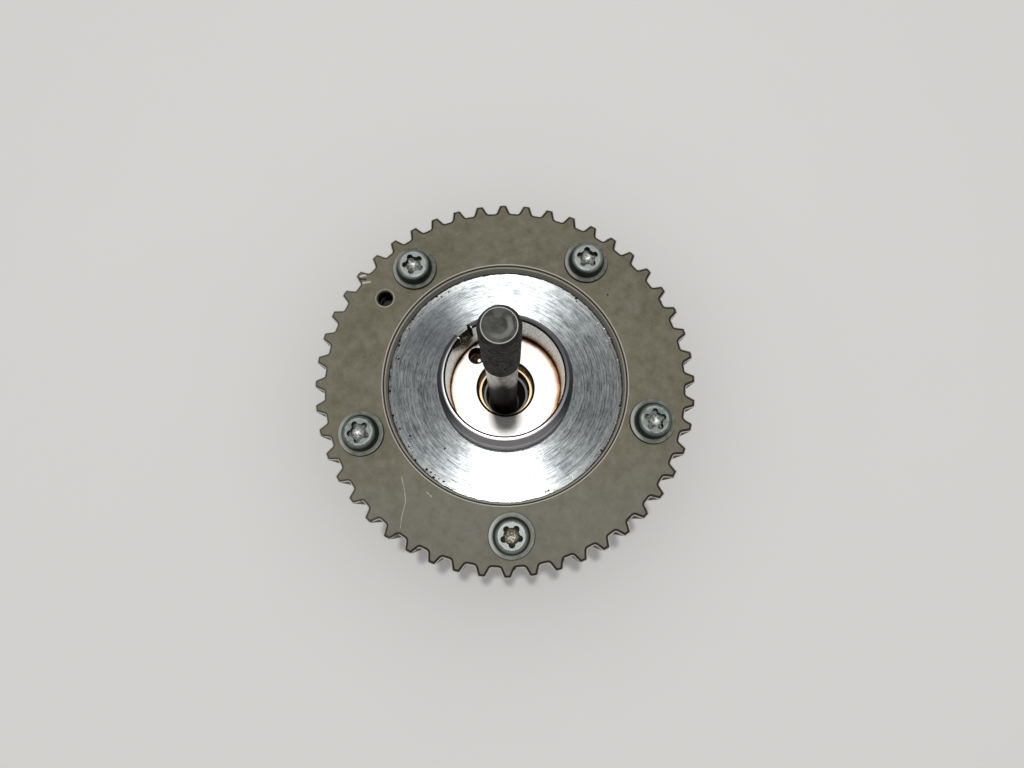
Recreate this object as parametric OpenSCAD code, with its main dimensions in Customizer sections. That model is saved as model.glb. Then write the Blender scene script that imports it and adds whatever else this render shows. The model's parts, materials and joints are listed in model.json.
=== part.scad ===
// Belt-driven vane cam phaser with its loose centre bolt.
// The origin is on the axis at the front face, which the part lies on, and +Z points to the camshaft side.

/* [Sprocket] */
// Number of belt teeth
teeth = 48; // [46:1:60]
// Pitch of the belt
belt_pitch = 8; // [7.7:0.1:10]
// Distance from the belt's pitch line down to the tooth tips
pitch_line_h = 0.686; // [0.4:0.001:1]
// Height of a tooth
tooth_h = 3; // [2:0.1:3.6]
// Width of the flat on a tooth tip, measured to the sharp corners
tooth_tip_w = 2.3; // [1.6:0.1:3]
// Slope of a tooth flank from the radial direction
tooth_flank = 23; // [15:1:27]
// Corner radius at the tip of a tooth
tooth_tip_round = 0.6; // [0.2:0.1:0.8]
// Corner radius at the foot of a tooth
tooth_foot_round = 0.7; // [0.2:0.1:0.9]
// Turn of the tooth ring against the screws
tooth_turn = -1.6; // [-4:0.1:4]
// Width of the toothed rim
rim_w = 22; // [16:0.5:28]
// Thickness of the rim under the teeth
rim_wall = 3.4; // [2:0.1:6]
// Thickness of the web that the screws clamp
web_t = 5.2; // [3.5:0.1:8]
// Chamfer at the bore of the web
web_chamfer = 1; // [0.4:0.1:2]
// Land left between a screw head and the chamfer of the web's bore
web_land = 1.8; // [0.8:0.1:4]

/* [Housing] */
// Thickness of the front cover
front_cover_t = 6; // [5:0.1:10]
// Height of the oil chambers
chamber_h = 18; // [16:0.5:26]
// Thickness of the stator's ring wall
stator_wall = 10.9; // [10.2:0.1:14]
// Distance from the chamber wall to the screw circle
screw_inset = 4.8; // [4.2:0.1:5]
// Angle that one lug of the stator fills
lug_angle = 24; // [18:1:26]
// Bore of the front cover around the bolt head
front_bore_d = 34; // [33:0.5:44]
// Width of the seat for the sealing plug around the front bore
plug_seat_w = 2.5; // [1:0.1:4]
// Depth of the seat for the sealing plug
plug_seat_depth = 1.5; // [0.5:0.1:3]
// Edge chamfer of the front cover
front_chamfer = 1; // [0.3:0.1:2]

/* [Rear cover] */
// Thickness of the rear cover's flange
rear_flange_t = 6.3; // [5.5:0.1:9]
// Diameter of the seal journal on the collar
journal_d = 42.5; // [41:0.5:48]
// Length of the collar above the flange
collar_l = 12.5; // [10.5:0.1:20]
// Wall of the collar around the camshaft nose
collar_wall = 2.85; // [2:0.05:4]
// Length of the lead-in cone at the collar's rim
lead_in_l = 3.5; // [1.5:0.1:5]
// Depth of the lead-in cone
lead_in_depth = 1.55; // [0.5:0.05:1.7]
// Chamfer inside the collar's rim
rim_chamfer = 0.35; // [0.1:0.05:0.5]
// Fillet at the foot of the collar
collar_fillet = 0.8; // [0.3:0.1:1.5]
// Width of the slot in the collar
slot_w = 4.8; // [3:0.1:8]
// Depth of the slot from the collar's rim
slot_depth = 8; // [4:0.1:9]
// Direction of the slot
slot_angle = 129.5; // [0:0.5:360]
// Diameter of the small hole through the web
web_hole_d = 4.7; // [3:0.1:6]
// Chamfer at the mouth of the small hole
web_hole_chamfer = 0.6; // [0.2:0.1:1]
// Diameter of the blind hole under it in the rear cover
blind_hole_d = 4.2; // [2.5:0.1:4.4]
// Depth of the blind hole
blind_hole_depth = 3; // [1:0.1:5]
// Direction of the small hole, on the screw circle
web_hole_angle = 142.5; // [138:0.5:186]

/* [Cover screws] */
// Thread diameter of the cover screws
screw_d = 6; // [5:0.1:6]
// Diameter of the screw's flange
screw_flange_d = 14; // [11:0.1:15]
// Thickness of the screw's flange
screw_flange_t = 0.9; // [0.6:0.1:1.5]
// Diameter of the round head above the flange
screw_head_d = 11.5; // [10:0.1:13]
// Height of the head with its flange
screw_head_h = 4.5; // [3.8:0.1:5]
// Diameter of the flat around the socket
screw_top_d = 8.2; // [7.4:0.1:9]
// Diameter over the socket's lobes
socket_d = 7; // [5:0.1:7.2]
// Radius of a socket lobe
lobe_r = 1; // [0.8:0.05:1.3]
// Depth of the socket
socket_depth = 3.1; // [1.5:0.1:3.4]
// Distance from the screw's end to the front face
screw_end_gap = 0.8; // [0.2:0.1:2]
// Chamfer at the screw's end
screw_chamfer = 0.7; // [0.3:0.1:1.2]

/* [Rotor] */
// Travel of the rotor between its stops, in degrees
travel = 25; // [15:0.5:28]
// Free angle left between a vane and a lug at each stop
stop_angle = 0.5; // [0.2:0.1:1]
// Diameter of the rotor hub
hub_d = 52; // [50:0.5:56]
// Diameter of the bolt bore
bolt_bore_d = 14; // [12.5:0.1:15]
// Widening of the bright cone above the bolt bore
throat_step = 0.6; // [0.3:0.1:1]
// Height of the bolt bore above the bolt's seat
throat_z = 1.2; // [0.6:0.1:2]
// Widening of the tapered oil space above the cone
oil_step = 0.65; // [0.3:0.05:1]
// Width of the ledge at the bottom of the pilot recess
pilot_ledge = 0.75; // [0.4:0.05:1.2]
// Depth of the pilot recess from the rotor's rear face
pilot_depth = 5.6; // [4:0.1:8]
// Chamfer at the mouth of the pilot recess
pilot_chamfer = 0.8; // [0.3:0.1:1.2]
// Diameter of the dowel hole in the rotor's rear face
dowel_d = 5.8; // [4:0.1:6]
// Depth of the dowel hole
dowel_depth = 6; // [3:0.1:8]
// Distance from the collar's bore to the dowel hole
dowel_inset = 0.75; // [0.5:0.05:1.3]
// Direction of the dowel hole at rest
dowel_angle = 129; // [126:0.5:132]
// Diameter of the radial oil drillings
oil_hole_d = 2.8; // [1.5:0.1:3]
// Wall left between an oil drilling and the side of a vane
oil_hole_wall = 0.4; // [0.2:0.1:1]
// Depth of the upper oil drillings below the rotor's rear face
oil_upper_depth = 3; // [2.6:0.1:3.6]
// Height of the lower oil drillings above the bolt's seat
oil_lower_h = 4.5; // [3.4:0.1:5]

/* [Vane seals] */
// Width of a seal strip
seal_w = 2; // [1.5:0.1:3]
// Radial height of a seal strip
seal_h = 2.3; // [1.5:0.1:3]
// Depth of the groove in a vane tip
seal_groove_depth = 3; // [2.9:0.1:4]
// Thickness of the leaf spring behind a strip
leaf_t = 0.25; // [0.15:0.05:0.3]
// Length of the leaf spring
leaf_l = 15; // [8:0.5:15.5]

/* [Lock pin] */
// Diameter of the lock pin
pin_d = 7; // [5:0.1:7.6]
// Length of the lock pin
pin_l = 11.5; // [9:0.1:12]
// Wall of the lock pin around its spring
pin_wall = 1.1; // [0.8:0.1:1.4]
// Thickness of the lock pin's closed end
pin_end_t = 3.5; // [2:0.1:4]
// Wall between the lock pin's bore and the groove of the seal strip
pin_land = 1.94; // [1:0.02:4]
// Thickness of the plug that the spring stands on
plug_t = 2; // [1:0.1:2.4]
// Wire diameter of the lock pin's spring
spring_wire_d = 0.7; // [0.4:0.05:0.8]
// Turns of the lock pin's spring
spring_turns = 6; // [4:1:7]
// Wall of the bush that the pin drops into
bush_wall = 1.4; // [0.8:0.1:2]
// Height of the bush
bush_h = 4; // [2.5:0.1:4.6]

/* [Cover seals] */
// Width of a cover seal
ring_w = 1.3; // [0.8:0.1:1.4]
// Height of a cover seal as clamped
ring_h = 1.1; // [0.6:0.1:1.6]
// Wall between a cover seal's groove and the stator's edge
ring_wall = 1; // [0.6:0.05:1.1]

/* [Centre bolt] */
// Thread diameter of the bolt
bolt_d = 10; // [8:0.1:11]
// Diameter of the reduced shank
shank_d = 9; // [7:0.1:9.5]
// Length of the bolt under its head
bolt_l = 96; // [70:0.5:120]
// Length of the thread
thread_l = 31.5; // [15:0.5:40]
// Diameter of the flat at the thread's end
tip_d = 8; // [6:0.1:8.5]
// Height of the hexagon
hex_h = 7; // [5:0.1:7.4]
// Width across the flats of the hexagon
hex_af = 15; // [13:0.5:16]
// Diameter of the head's flange
head_flange_d = 21; // [19:0.5:22]
// Thickness of the head's flange
head_flange_t = 2.4; // [1.5:0.1:3]
// Distance from the front face up to the head
head_recess = 0.6; // [0.2:0.1:2]
// Side of the bore that the loose bolt leans to
bolt_side = 250; // [0:1:360]

/* [Clearances] */
// Gap between the stator and the sprocket's rim
rim_gap = 0.05; // [0.02:0.01:0.3]
// Running gap of the rotor hub in the lugs
hub_gap = 0.08; // [0.02:0.01:0.1]
// Running gap of the vane tips in the chambers
tip_gap = 0.15; // [0.08:0.01:0.3]
// Gap between a seal strip and the chamber wall
seal_gap = 0.05; // [0.02:0.01:0.1]
// Gap at the sides and ends of the strips, springs and cover seals
slip_gap = 0.05; // [0.02:0.01:0.15]
// Running gap at each end face of the rotor
end_gap = 0.05; // [0.03:0.01:0.1]
// Running gap of the lock pin in its vane
pin_gap = 0.04; // [0.01:0.01:0.1]
// Gap of the lock pin in its bush
bush_gap = 0.2; // [0.1:0.01:0.4]
// Gap of the screws in their clearance holes
screw_gap = 0.15; // [0.05:0.01:0.2]
// Gap of the screw threads in the front cover
thread_gap = 0.03; // [0.01:0.01:0.1]
// Gap between the leaning bolt and its bore
bolt_gap = 0.15; // [0.05:0.01:0.4]
// Gap between the bolt head and its recess when it leans
head_gap = 0.6; // [0.3:0.1:2]

/* [Hidden] */
$fn = 96;
chambers = 5;
first_screw_angle = -90;
// How far each screw's socket happens to be turned
socket_turns = [54, 15, 18, 40, 45];
// The vane that carries the lock pin
lock_vane = 2;
corner_steps = 3;
head_steps = 6;
spring_sides = 8;
spring_steps = 18;
cut = 1;

// Radii, from the belt line inwards
tip_r = teeth * belt_pitch / (2 * PI) - pitch_line_h;
root_r = tip_r - tooth_h;
stator_r = root_r - rim_wall;
rim_bore_r = stator_r + rim_gap;
chamber_r = stator_r - stator_wall;
screw_circle_r = chamber_r + screw_inset;
screw_hole_r = screw_d / 2 + screw_gap;
web_top_r = screw_circle_r - screw_flange_d / 2 - web_land;
web_bore_r = web_top_r - web_chamfer;
hub_r = hub_d / 2;
vane_r = chamber_r - tip_gap;
journal_r = journal_d / 2;
collar_bore_r = journal_r - collar_wall;
ring_mid_r = stator_r - ring_wall - ring_w / 2;

// Heights, from the front face upwards
chamber_z = front_cover_t;
rear_z = chamber_z + chamber_h;
disc_z = rear_z + rear_flange_t;
plate_z = disc_z + web_t;
collar_z = disc_z + collar_l;
rim_z = plate_z - rim_w;
rotor_z = chamber_z + end_gap;
rotor_top_z = rear_z - end_gap;
seat_z = head_recess + hex_h + head_flange_t;

// The stepped bore of the rotor
bolt_bore_r = bolt_bore_d / 2;
throat_r = bolt_bore_r + throat_step;
oil_r = throat_r + oil_step;
pilot_r = oil_r + pilot_ledge;
bolt_offset = bolt_bore_r - shank_d / 2 - bolt_gap;
head_recess_r = head_flange_d / 2 + bolt_offset + head_gap;
dowel_r = collar_bore_r - dowel_inset - dowel_d / 2;

// Angles
chamber_angle = 360 / chambers;
vane_angle = chamber_angle - lug_angle - travel - 2 * stop_angle;
first_vane_angle = first_screw_angle + chamber_angle / 2;
oil_hole_angle = vane_angle / 2 + asin((oil_hole_d / 2 + oil_hole_wall) / hub_r);

// Seal strips
seal_top_r = chamber_r - seal_gap;
seal_foot_r = seal_top_r - seal_h;
groove_r = vane_r - seal_groove_depth;
seal_l = rotor_top_z - rotor_z;
leaf_rise = seal_foot_r - groove_r - leaf_t - slip_gap;
leaf_r = (pow(leaf_l / 2, 2) + pow(leaf_rise, 2)) / (2 * leaf_rise);

// The lock pin and its bush
lock_r = groove_r - pin_land - pin_gap - pin_d / 2;
lock_angle = first_vane_angle + chamber_angle * (lock_vane - 1);
bush_angle = lock_angle - travel / 2;
bush_bore_r = pin_d / 2 + bush_gap;
bush_r = bush_bore_r + bush_wall;
pin_z = rotor_top_z - pin_l;
plug_z = rotor_z + slip_gap;
spring_z = plug_z + plug_t;
spring_l = pin_z + pin_l - pin_end_t - spring_z;
spring_r = pin_d / 2 - pin_wall - slip_gap * 2 - spring_wire_d / 2;

// Helpers

function turned(p, a) = [p.x * cos(a) - p.y * sin(a), p.x * sin(a) + p.y * cos(a)];
function mirrored(points) = [for (i = [len(points) - 1:-1:0]) [points[i].x, -points[i].y]];
function arc(centre, r, from, to, steps) =
    [for (i = [0:steps]) centre + r * [cos(from + (to - from) * i / steps), sin(from + (to - from) * i / steps)]];
function screw_angle(i) = first_screw_angle + chamber_angle * (i - 1);
function vane_mid(i) = first_vane_angle + chamber_angle * (i - 1);

// Half of one tooth: the corner at its tip, then the corner at its foot
flank_turn = 90 - tooth_flank;
tip_half = tooth_tip_w / 2;
foot_half = tip_half + tooth_h * tan(tooth_flank);
half_tooth = concat(
    arc(
        [tip_r - tooth_tip_round, tip_half - tooth_tip_round * tan(flank_turn / 2)],
        tooth_tip_round, 0, flank_turn, corner_steps
    ),
    arc(
        [root_r + tooth_foot_round, foot_half + tooth_foot_round * tan(flank_turn / 2)],
        tooth_foot_round, 180 + flank_turn, 180, corner_steps
    )
);
tooth = concat(mirrored(half_tooth), half_tooth);
tooth_outline = [for (k = [0:teeth - 1]) for (p = tooth) turned(p, tooth_turn + k * 360 / teeth)];

module at_polar(r, a, z = 0) { rotate([0, 0, a]) translate([r, 0, z]) children(); }
module wedge(angle, r) {
    polygon([[0, 0], turned([r, 0], -angle / 2), [r / cos(angle / 2), 0], turned([r, 0], angle / 2)]);
}
module screw_holes(r, from, to) {
    for (i = [1:chambers]) at_polar(screw_circle_r, screw_angle(i), from) cylinder(r = r, h = to - from);
}
module seal_ring(z) {
    bevel = ring_h / 4;
    half = ring_w / 2 - slip_gap;
    translate([0, 0, z]) rotate_extrude() translate([ring_mid_r, 0]) polygon([
        [-half + bevel, slip_gap], [half - bevel, slip_gap], [half, bevel + slip_gap], [half, ring_h - bevel],
        [half - bevel, ring_h], [-half + bevel, ring_h], [-half, ring_h - bevel], [-half, bevel + slip_gap]
    ]);
}
module seal_groove(z) {
    translate([0, 0, z]) rotate_extrude() translate([ring_mid_r - ring_w / 2, 0]) square([ring_w, ring_h + cut]);
}

// Housing

module sprocket() {
    color([0.55, 0.53, 0.48]) difference() {
        translate([0, 0, rim_z]) linear_extrude(rim_w) polygon(tooth_outline);
        translate([0, 0, rim_z - cut]) cylinder(r = rim_bore_r, h = rim_w - web_t + cut);
        translate([0, 0, disc_z - cut]) cylinder(r = web_bore_r, h = web_t + 2 * cut);
        translate([0, 0, plate_z - web_chamfer])
            cylinder(r1 = web_bore_r, r2 = web_top_r + cut, h = web_chamfer + cut);
        screw_holes(screw_hole_r, disc_z - cut, plate_z + cut);
        at_polar(screw_circle_r, web_hole_angle, disc_z - cut) cylinder(d = web_hole_d, h = web_t + 2 * cut);
        at_polar(screw_circle_r, web_hole_angle, plate_z - web_hole_chamfer)
            cylinder(r1 = web_hole_d / 2, r2 = web_hole_d / 2 + web_hole_chamfer + cut, h = web_hole_chamfer + cut);
    }
}

module rear_cover() {
    foot_r = journal_r + collar_fillet;
    rim_r = journal_r - lead_in_depth;
    color([0.72, 0.75, 0.78]) difference() {
        rotate_extrude() polygon(concat(
            [[collar_bore_r, rear_z], [stator_r, rear_z], [stator_r, disc_z]],
            arc([foot_r, disc_z + collar_fillet], collar_fillet, 270, 180, corner_steps),
            [
                [journal_r, collar_z - lead_in_l],
                [rim_r, collar_z],
                [collar_bore_r + rim_chamfer, collar_z],
                [collar_bore_r, collar_z - rim_chamfer]
            ]
        ));
        screw_holes(screw_hole_r, rear_z - cut, disc_z + cut);
        at_polar(screw_circle_r, web_hole_angle, disc_z - blind_hole_depth)
            cylinder(d = blind_hole_d, h = blind_hole_depth + cut);
        at_polar(lock_r, bush_angle, rear_z - cut) cylinder(r = bush_r + thread_gap, h = bush_h + cut);
        rotate([0, 0, slot_angle]) translate([0, -slot_w / 2, collar_z - slot_depth])
            cube([journal_r + cut, slot_w, slot_depth + cut]);
    }
}

module rear_cover_seal() {
    color([0.08, 0.08, 0.08]) seal_ring(rear_z - ring_h);
}

module stator() {
    color([0.5, 0.5, 0.48]) difference() {
        translate([0, 0, chamber_z]) linear_extrude(chamber_h) difference() {
            union() {
                difference() {
                    circle(r = stator_r);
                    circle(r = chamber_r);
                }
                intersection() {
                    circle(r = chamber_r + cut);
                    for (i = [1:chambers]) rotate(screw_angle(i)) wedge(lug_angle, stator_r);
                }
            }
            circle(r = hub_r + hub_gap);
        }
        screw_holes(screw_hole_r, chamber_z - cut, rear_z + cut);
        seal_groove(rear_z - ring_h);
        mirror([0, 0, 1]) seal_groove(-chamber_z - ring_h);
    }
}

module front_cover() {
    bore_r = front_bore_d / 2;
    color([0.6, 0.6, 0.58]) difference() {
        rotate_extrude() polygon([
            [bore_r + plug_seat_w, 0],
            [stator_r - front_chamfer, 0],
            [stator_r, front_chamfer],
            [stator_r, front_cover_t],
            [bore_r, front_cover_t],
            [bore_r, plug_seat_depth],
            [bore_r + plug_seat_w, plug_seat_depth]
        ]);
        screw_holes(screw_d / 2 + thread_gap, -cut, front_cover_t + cut);
    }
}

module front_cover_seal() {
    color([0.08, 0.08, 0.08]) mirror([0, 0, 1]) seal_ring(-chamber_z - ring_h);
}

module cover_screw(i) {
    head_r = screw_head_d / 2;
    top_r = screw_top_d / 2;
    dome_h = screw_head_h - screw_flange_t;
    dome = [for (s = [0:head_steps]) [
        top_r + (head_r - top_r) * cos(90 * s / head_steps),
        screw_flange_t + dome_h * sin(90 * s / head_steps)
    ]];
    end_z = screw_end_gap - plate_z;
    color([0.62, 0.66, 0.68]) at_polar(screw_circle_r, screw_angle(i), plate_z)
        rotate([0, 0, socket_turns[i - 1] - screw_angle(i)]) difference() {
            rotate_extrude() polygon(concat(
                [
                    [0, end_z],
                    [screw_d / 2 - screw_chamfer, end_z],
                    [screw_d / 2, end_z + screw_chamfer],
                    [screw_d / 2, 0],
                    [screw_flange_d / 2, 0],
                    [screw_flange_d / 2, screw_flange_t]
                ],
                dome,
                [[0, screw_head_h]]
            ));
            translate([0, 0, screw_head_h - socket_depth]) linear_extrude(socket_depth + cut) socket();
        }
}
// Five-lobe socket: lobes at the corners of a core, with one lobe along +X
module socket() {
    lobe_centre_r = socket_d / 2 - lobe_r;
    circle(r = lobe_centre_r);
    for (k = [0:chambers - 1]) rotate(k * 360 / chambers) {
        translate([lobe_centre_r, 0]) circle(r = lobe_r);
        translate([0, -lobe_r]) square([lobe_centre_r, 2 * lobe_r]);
    }
}

// Rotor with what it carries

module rotor() {
    color([0.66, 0.66, 0.64]) difference() {
        translate([0, 0, rotor_z]) linear_extrude(rotor_top_z - rotor_z) union() {
            circle(r = hub_r);
            intersection() {
                circle(r = vane_r);
                for (i = [1:chambers]) rotate(vane_mid(i)) wedge(vane_angle, chamber_r);
            }
        }
        rotor_bore();
        at_polar(dowel_r, dowel_angle, rotor_top_z - dowel_depth) cylinder(d = dowel_d, h = dowel_depth + cut);
        for (i = [1:chambers]) {
            rotate([0, 0, vane_mid(i) + oil_hole_angle]) oil_hole(rotor_top_z - oil_upper_depth);
            rotate([0, 0, vane_mid(i) - oil_hole_angle]) oil_hole(seat_z + oil_lower_h);
            rotate([0, 0, vane_mid(i)]) translate([groove_r, -seal_w / 2 - slip_gap, rotor_z - cut])
                cube([seal_groove_depth + cut, seal_w + 2 * slip_gap, chamber_h + 2 * cut]);
        }
        at_polar(lock_r, lock_angle, rotor_z - cut) cylinder(r = pin_d / 2 + pin_gap, h = chamber_h + 2 * cut);
    }
}
module rotor_bore() {
    rotate_extrude() polygon([
        [0, rotor_z - cut],
        [head_recess_r, rotor_z - cut],
        [head_recess_r, seat_z],
        [bolt_bore_r, seat_z],
        [bolt_bore_r, seat_z + throat_z],
        [throat_r, seat_z + throat_z + throat_step],
        [oil_r, rotor_top_z - pilot_depth],
        [pilot_r, rotor_top_z - pilot_depth],
        [pilot_r, rotor_top_z - pilot_chamfer],
        [pilot_r + pilot_chamfer, rotor_top_z],
        [pilot_r + pilot_chamfer, rotor_top_z + cut],
        [0, rotor_top_z + cut]
    ]);
}
module oil_hole(z) {
    translate([0, 0, z]) rotate([0, 90, 0]) cylinder(d = oil_hole_d, h = hub_r + cut);
}

module vane_seal(i) {
    color([0.12, 0.12, 0.13]) rotate([0, 0, vane_mid(i)]) translate([0, 0, rotor_z]) linear_extrude(seal_l)
        intersection() {
            translate([seal_foot_r, -seal_w / 2]) square([seal_h, seal_w]);
            circle(r = seal_top_r);
        }
}

// The leaf is bowed along the vane, with its ends on the groove's floor and its middle behind the strip
module vane_seal_spring(i) {
    color([0.5, 0.45, 0.35]) rotate([0, 0, vane_mid(i)])
        translate([groove_r, seal_w / 2 - slip_gap, (rotor_z + rotor_top_z) / 2]) rotate([90, 0, 0])
            linear_extrude(seal_w - 2 * slip_gap) intersection() {
                translate([leaf_rise - leaf_r, 0]) difference() {
                    circle(r = leaf_r + leaf_t);
                    circle(r = leaf_r);
                }
                translate([0, -leaf_l / 2]) square([leaf_rise + leaf_t, leaf_l]);
            }
}

module lock_pin() {
    color([0.45, 0.46, 0.5]) at_polar(lock_r, lock_angle, pin_z) difference() {
        cylinder(d = pin_d, h = pin_l);
        translate([0, 0, -cut]) cylinder(r = pin_d / 2 - pin_wall, h = pin_l - pin_end_t + cut);
    }
}

module lock_pin_spring() {
    pitch = (spring_l - 2 * slip_gap - spring_wire_d) / spring_turns;
    count = spring_turns * spring_steps;
    points = [for (k = [0:count]) for (s = [0:spring_sides - 1])
        let (
            a = 360 * k / spring_steps,
            b = 360 * s / spring_sides,
            r = spring_r + spring_wire_d / 2 * cos(b),
            z = slip_gap + spring_wire_d / 2 * (1 + sin(b)) + pitch * k / spring_steps
        )
        [r * cos(a), r * sin(a), z]
    ];
    n = spring_sides;
    color([0.4, 0.4, 0.42]) at_polar(lock_r, lock_angle, spring_z) polyhedron(points, concat(
        [[for (s = [0:n - 1]) s]],
        [[for (s = [n - 1:-1:0]) count * n + s]],
        [for (k = [0:count - 1]) for (s = [0:n - 1])
            [k * n + s, (k + 1) * n + s, (k + 1) * n + (s + 1) % n, k * n + (s + 1) % n]]
    ));
}

module lock_spring_plug() {
    color([0.6, 0.55, 0.4]) at_polar(lock_r, lock_angle, plug_z) cylinder(r = pin_d / 2, h = plug_t);
}

module lock_pin_seat() {
    color([0.35, 0.35, 0.38]) at_polar(lock_r, bush_angle, rear_z) difference() {
        cylinder(r = bush_r, h = bush_h);
        translate([0, 0, -cut]) cylinder(r = bush_bore_r, h = bush_h + 2 * cut);
    }
}

module center_bolt() {
    flange_r = head_flange_d / 2;
    thread_r = bolt_d / 2;
    hex_r = hex_af / 2 / cos(30);
    tip_z = seat_z + bolt_l;
    color([0.2, 0.2, 0.2]) at_polar(bolt_offset, bolt_side) {
        rotate_extrude() polygon([
            [0, seat_z - head_flange_t],
            [hex_r, seat_z - head_flange_t],
            [flange_r, seat_z - head_flange_t / 2],
            [flange_r, seat_z],
            [shank_d / 2, seat_z],
            [shank_d / 2, tip_z - thread_l - (bolt_d - shank_d) / 2],
            [thread_r, tip_z - thread_l],
            [thread_r, tip_z - (bolt_d - tip_d) / 2],
            [tip_d / 2, tip_z],
            [0, tip_z]
        ]);
        translate([0, 0, head_recess]) cylinder(r = hex_r, h = hex_h, $fn = 6);
    }
}

sprocket();
rear_cover();
rear_cover_seal();
stator();
front_cover();
front_cover_seal();
for (i = [1:chambers]) {
    cover_screw(i);
    vane_seal(i);
    vane_seal_spring(i);
}
rotor();
lock_pin();
lock_pin_spring();
lock_spring_plug();
lock_pin_seat();
center_bolt();
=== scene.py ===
"""Looks for the cam phaser: materials, wear, the real bolt thread and the chamfered tooth outline.

Lengths in this file are millimetres in the part's frame; MM turns them into the scene's metres.
Angles are degrees around the part's axis, counted from +X.
"""

import json
import math

import bmesh
import bpy
from mathutils import Euler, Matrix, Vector
from mathutils.geometry import tessellate_polygon


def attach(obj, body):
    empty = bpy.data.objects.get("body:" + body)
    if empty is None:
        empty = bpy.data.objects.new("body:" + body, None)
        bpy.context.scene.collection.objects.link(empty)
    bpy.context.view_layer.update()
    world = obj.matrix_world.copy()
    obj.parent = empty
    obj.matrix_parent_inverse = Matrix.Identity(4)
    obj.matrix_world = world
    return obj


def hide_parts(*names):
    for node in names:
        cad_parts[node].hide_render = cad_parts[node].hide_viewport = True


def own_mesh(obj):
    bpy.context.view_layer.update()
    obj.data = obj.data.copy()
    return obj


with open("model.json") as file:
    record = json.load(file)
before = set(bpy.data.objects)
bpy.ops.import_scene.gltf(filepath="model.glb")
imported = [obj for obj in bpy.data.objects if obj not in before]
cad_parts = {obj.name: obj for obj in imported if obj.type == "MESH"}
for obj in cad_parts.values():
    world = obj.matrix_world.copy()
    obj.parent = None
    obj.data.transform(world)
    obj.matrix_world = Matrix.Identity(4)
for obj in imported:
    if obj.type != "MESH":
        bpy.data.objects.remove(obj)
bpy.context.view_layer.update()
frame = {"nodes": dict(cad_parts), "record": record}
nodes = frame["nodes"]


def polar(r, degrees):
    """The point at a radius and an angle, in x and y."""
    a = math.radians(degrees)
    return (r * math.cos(a), r * math.sin(a))


MM = 0.001

# Camera of the photo; the near limit is in metres
CAMERA_AT = (0.0, -41.67, 240.17)
CAMERA_TURN = (11.249, -0.108, -2.408)
CAMERA_LENS = 23.135
CAMERA_SENSOR = 36.0
CAMERA_NEAR = 0.01

# Light; the key's size is in metres
KEY_AT = (-5, 82, 900)
KEY_SIZE = 0.05
KEY_POWER = 2.2
ROOM_LEVEL = 0.5

# Floor
FLOOR_HALF = 3000
FLOOR_COLOR = (0.86, 0.85, 0.83)
FLOOR_VARIATION = 1.02

# Heights of the part
PLATE_Z = 35.5
DISC_Z = 30.3
COLLAR_Z = 42.8
ROTOR_Z = 23.95

# Tooth ring
TEETH = 48
BELT_PITCH = 8.0
PITCH_LINE_H = 0.686
TIP_R = TEETH * BELT_PITCH / (2 * math.pi) - PITCH_LINE_H
TOOTH_H = 3.0
TIP_W = 2.3
FLANK = math.radians(23)
TIP_ROUND = 0.6
FOOT_ROUND = 0.7
LEAST_ROUND = 0.05
TOOTH_TURN = -1.6
RIM_W = 22.0
RIM_WALL = 3.4
RIM_GAP = 0.05
RIM_BORE_R = TIP_R - TOOTH_H - RIM_WALL + RIM_GAP
RIM_FROM_R = 55.0
EDGE_CHAMFER = 1.0
EDGE_CHAMFER_H = 0.6

# Web
WEB_BORE_R = 38.13
WEB_CHAMFER = 1.0
WEB_HOLE_ANGLE = 142.5
WEB_HOLE_R = 2.35
WEB_HOLE_CHAMFER = 0.6

# Wear on the web, as points or chains of points in x and y
LONG_SCRATCH = ((-33.1, -28.8), (-32.2, -33.1), (-32.0, -36.4), (-33.2, -40.9), (-33.6, -44.1))
SHORT_SCRATCH = ((-25.5, -33.7), (-24.0, -35.2))
NICK_ABOVE = ((-45.9, 36.9), (-44.3, 37.2))
NICK_BELOW = ((-45.3, 34.6), (-42.8, 34.9))
NICK_SHADE = ((-46.2, 36.1), (-44.4, 35.9))
WEB_PIT = (34.5, 27.3)

# Screws
SCREWS = 5
FIRST_SCREW = -90
SCREW_R = 47.93
FLANGE_R = 7.0
FLANGE_Z = PLATE_Z + 0.9
HEAD_R = 5.75
HEAD_TOP_R = 4.1
HEAD_Z = PLATE_Z + 4.5
SOCKET_R = 3.5
SOCKET_Z = HEAD_Z - 3.1

# Rear cover, with single pits in its turned disc as points in x and y
JOURNAL_R = 21.25
COLLAR_BORE_R = 18.4
LIP_R = 19.7
LIP_FROM_R = 18.98
LEAD_IN_Z = COLLAR_Z - 3.5
SLOT_Z = 34.8
SLOT_LOW = 121.7
SLOT_HIGH = 137.3
DARK_FAN_END = 149
LONE_PITS = ((-31.2, -15.5), (-20.2, -20.0), (-34.6, 10.0), (30.0, -23.0), (36.7, -8.5))

# Rotor, with the heights of the steps in its bore
PILOT_R = 9.8
PILOT_TOP_Z = 23.1
PILOT_Z = 18.2
CONE_TOP_Z = 12.1
CONE_Z = 11.1
DOWEL_AT = polar(14.75, 129)
DOWEL_R = 2.9
DOWEL_GLINT = (-8.7, 11.2)

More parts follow.
